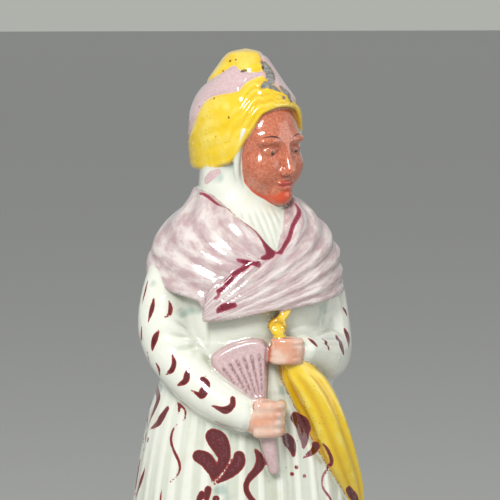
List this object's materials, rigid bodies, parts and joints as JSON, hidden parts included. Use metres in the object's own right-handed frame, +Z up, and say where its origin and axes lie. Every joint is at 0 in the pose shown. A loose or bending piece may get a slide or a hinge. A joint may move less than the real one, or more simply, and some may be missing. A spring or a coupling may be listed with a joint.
{
  "type": "staffordshire figure",
  "caption": "Glazed earthenware figure of a woman in a turban and crossed shawl, holding a fan and a closed parasol, on a low stepped plinth",
  "frame": {"origin": "centre of the plinth's underside", "axes": "+Z up through the figure, -Y the way her body faces, +X toward her left hand"},
  "size_m": [0.084, 0.076, 0.2],
  "materials": {
    "glazed_pottery": "glossy pearlware glaze over press-moulded earthenware, with yellow, lilac, maroon and flesh enamels"
  },
  "bodies": {
    "root": {"figure": "glazed_pottery"}
  },
  "joints": []
}
